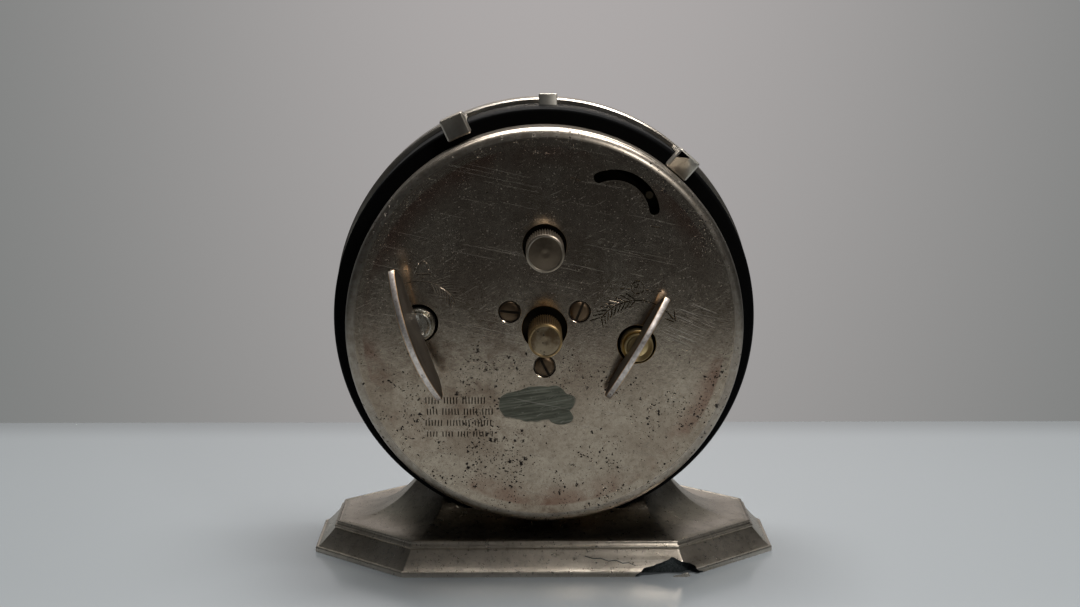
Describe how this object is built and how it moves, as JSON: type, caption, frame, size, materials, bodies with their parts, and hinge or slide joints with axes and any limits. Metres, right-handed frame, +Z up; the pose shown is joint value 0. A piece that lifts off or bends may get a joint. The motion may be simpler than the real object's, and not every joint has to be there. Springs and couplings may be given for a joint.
{
  "type": "wind-up interval timer",
  "caption": "Wind-up bell-back desk timer: drum case on a cast octagonal stand, winding keys, setting knobs, rate lever and rim markers.",
  "frame": {"origin": "on the table, under the middle of the object's outline", "axes": "+Z up, the dial faces -Y, the winding keys face +Y, X along the stand"},
  "size_m": [0.115, 0.089, 0.1142],
  "materials": {
    "aged_nickel": "nickel plate, tarnished, pitted and scratched",
    "cast_pot_metal": "nickel-plated cast pot metal, worn at the edges",
    "bright_nickel": "nickel plate",
    "black_enamel": "black enamel, satin",
    "clear_glass": "clear domestic glass",
    "dial_white": "cream printed dial",
    "black_hands": "black lacquer",
    "key_nickel": "nickel plate worn to brass on the edges",
    "knob_nickel": "nickel plate, worn",
    "knob_brass": "aged brass",
    "bronzed_steel": "browned steel",
    "clip_nickel": "nickel plate",
    "movement_brass": "lacquered brass",
    "movement_steel": "plain steel",
    "spring_steel": "blued spring steel"
  },
  "bodies": {
    "clock_case": {"base_casting": "cast_pot_metal", "base_screws": "movement_steel", "base_nuts": "movement_steel", "case_shell": "black_enamel", "case_pillars": "movement_steel", "case_screws": "movement_steel", "bezel": "bright_nickel", "crystal": "clear_glass", "reflector_ring": "bright_nickel", "dial": "dial_white", "bell_cover": "aged_nickel", "bell_posts": "movement_brass", "bell_screws": "bronzed_steel", "back_plate": "movement_brass", "front_plate": "movement_brass", "plate_pillars": "movement_steel", "pillar_nuts": "movement_steel", "hairspring_stud": "movement_steel", "minute_stud": "movement_steel", "shutoff_screw": "movement_steel"},
    "hand_setting_arbor": {"hand_set_knob": "knob_brass", "centre_arbor": "movement_steel", "cannon_pinion": "movement_brass", "minute_hand": "black_hands"},
    "minute_wheel_set": {"minute_wheel": "movement_brass"},
    "hour_wheel_set": {"hour_wheel": "movement_brass", "hour_hand": "black_hands"},
    "alarm_dial_wheel": {"alarm_wheel": "movement_brass"},
    "alarm_setting_arbor": {"alarm_set_knob": "knob_nickel", "alarm_set_arbor": "movement_steel", "alarm_hand": "black_hands"},
    "time_winding_set": {"time_key": "key_nickel", "time_arbor": "movement_steel", "time_mainspring": "spring_steel"},
    "great_wheel_set": {"time_great_wheel": "movement_brass", "time_click": "movement_steel"},
    "centre_wheel_set": {"centre_wheel": "movement_brass"},
    "third_wheel_set": {"third_wheel": "movement_brass"},
    "fourth_wheel_set": {"fourth_wheel": "movement_brass"},
    "escape_wheel_set": {"escape_wheel": "movement_brass"},
    "pallet_lever_set": {"pallet_lever": "movement_steel"},
    "balance_set": {"balance_wheel": "movement_brass", "hairspring": "spring_steel"},
    "rate_lever": {"regulator": "movement_steel"},
    "alarm_winding_set": {"alarm_key": "key_nickel", "alarm_arbor": "movement_steel", "alarm_mainspring": "spring_steel"},
    "alarm_great_wheel_set": {"alarm_great_wheel": "movement_brass", "alarm_click": "movement_steel"},
    "alarm_escape_wheel_set": {"alarm_escape_wheel": "movement_brass"},
    "hammer_set": {"alarm_hammer": "movement_steel"},
    "shutoff_set": {"shutoff_lever": "clip_nickel"},
    "left_marker": {"marker_clip_left": "clip_nickel"},
    "right_marker": {"marker_clip_right": "clip_nickel"}
  },
  "joints": [
    {"name": "hand_setting_turn", "type": "hinge", "parent": "clock_case", "child": "hand_setting_arbor", "pos_m": [0, 0.0085, 0.0596], "axis": [0, -1, 0], "continuous": true},
    {"name": "minute_wheel_turn", "type": "hinge", "parent": "clock_case", "child": "minute_wheel_set", "pos_m": [0.00504, -0.0075, 0.05087], "axis": [0, -1, 0], "continuous": true},
    {"name": "hour_turn", "type": "hinge", "parent": "clock_case", "child": "hour_wheel_set", "pos_m": [0, -0.0125, 0.0596], "axis": [0, -1, 0], "continuous": true},
    {"name": "alarm_dial_turn", "type": "hinge", "parent": "clock_case", "child": "alarm_dial_wheel", "pos_m": [0, -0.011, 0.0795], "axis": [0, -1, 0], "continuous": true},
    {"name": "alarm_setting_turn", "type": "hinge", "parent": "clock_case", "child": "alarm_setting_arbor", "pos_m": [0, 0.0085, 0.0795], "axis": [0, -1, 0], "continuous": true},
    {"name": "time_winding_turn", "type": "hinge", "parent": "clock_case", "child": "time_winding_set", "pos_m": [-0.0221, 0.0125, 0.0557], "axis": [0, -1, 0], "range_deg": [-720, 720]},
    {"name": "fourth_wheel_turn", "type": "hinge", "parent": "clock_case", "child": "fourth_wheel_set", "pos_m": [0.01, 0.0045, 0.0846], "axis": [0, -1, 0], "continuous": true},
    {"name": "great_wheel_turn", "type": "hinge", "parent": "clock_case", "child": "great_wheel_set", "pos_m": [-0.0221, 0.0005, 0.0557], "axis": [0, -1, 0], "continuous": true},
    {"name": "centre_wheel_turn", "type": "hinge", "parent": "clock_case", "child": "centre_wheel_set", "pos_m": [0, -0.0015, 0.0596], "axis": [0, -1, 0], "continuous": true},
    {"name": "third_wheel_turn", "type": "hinge", "parent": "clock_case", "child": "third_wheel_set", "pos_m": [0.016, 0.0005, 0.0716], "axis": [0, -1, 0], "continuous": true},
    {"name": "escape_wheel_turn", "type": "hinge", "parent": "clock_case", "child": "escape_wheel_set", "pos_m": [-0.0005, 0.0075, 0.0879], "axis": [0, -1, 0], "continuous": true},
    {"name": "pallet_lever_swing", "type": "hinge", "parent": "clock_case", "child": "pallet_lever_set", "pos_m": [-0.0083, 0.0065, 0.0896], "axis": [0, -1, 0], "range_deg": [-4, 4]},
    {"name": "balance_swing", "type": "hinge", "parent": "clock_case", "child": "balance_set", "pos_m": [-0.0165, 0.0105, 0.0868], "axis": [0, -1, 0], "range_deg": [-160, 160], "stiffness_Nm_per_rad": 0.000002},
    {"name": "rate_lever_turn", "type": "hinge", "parent": "clock_case", "child": "rate_lever", "pos_m": [-0.0165, 0.0155, 0.0868], "axis": [0, -1, 0], "range_deg": [-80, 20]},
    {"name": "alarm_winding_turn", "type": "hinge", "parent": "clock_case", "child": "alarm_winding_set", "pos_m": [0.0301, 0.0125, 0.0608], "axis": [0, -1, 0], "range_deg": [-720, 720]},
    {"name": "alarm_great_wheel_turn", "type": "hinge", "parent": "clock_case", "child": "alarm_great_wheel_set", "pos_m": [0.0301, 0.0025, 0.0608], "axis": [0, -1, 0], "continuous": true},
    {"name": "alarm_escape_wheel_turn", "type": "hinge", "parent": "clock_case", "child": "alarm_escape_wheel_set", "pos_m": [0.024, 0.0075, 0.0456], "axis": [0, -1, 0], "continuous": true},
    {"name": "hammer_swing", "type": "hinge", "parent": "clock_case", "child": "hammer_set", "pos_m": [0.014, 0.0095, 0.0396], "axis": [0, -1, 0], "range_deg": [-10, 2.5]},
    {"name": "shutoff_swing", "type": "hinge", "parent": "clock_case", "child": "shutoff_set", "pos_m": [-0.0011, -0.008, 0.0956], "axis": [0, -1, 0], "range_deg": [-8, 8]},
    {"name": "left_marker_slide", "type": "hinge", "parent": "clock_case", "child": "left_marker", "pos_m": [0, 0.0005, 0.0596], "axis": [0, -1, 0], "range_deg": [-50, 12]},
    {"name": "right_marker_slide", "type": "hinge", "parent": "clock_case", "child": "right_marker", "pos_m": [0, 0.0005, 0.0596], "axis": [0, -1, 0], "range_deg": [-20, 60]}
  ],
  "couplings": [
    {"joint": "minute_wheel_turn", "follows": "hand_setting_turn", "ratio": -0.33333},
    {"joint": "hour_turn", "follows": "hand_setting_turn", "ratio": 0.083333},
    {"joint": "alarm_dial_turn", "follows": "hand_setting_turn", "ratio": -0.083333},
    {"joint": "escape_wheel_turn", "follows": "fourth_wheel_turn", "ratio": -6},
    {"joint": "third_wheel_turn", "follows": "fourth_wheel_turn", "ratio": -0.13333},
    {"joint": "centre_wheel_turn", "follows": "fourth_wheel_turn", "ratio": 0.016667},
    {"joint": "great_wheel_turn", "follows": "fourth_wheel_turn", "ratio": -0.0020833},
    {"joint": "alarm_escape_wheel_turn", "follows": "alarm_great_wheel_turn", "ratio": -6}
  ]
}
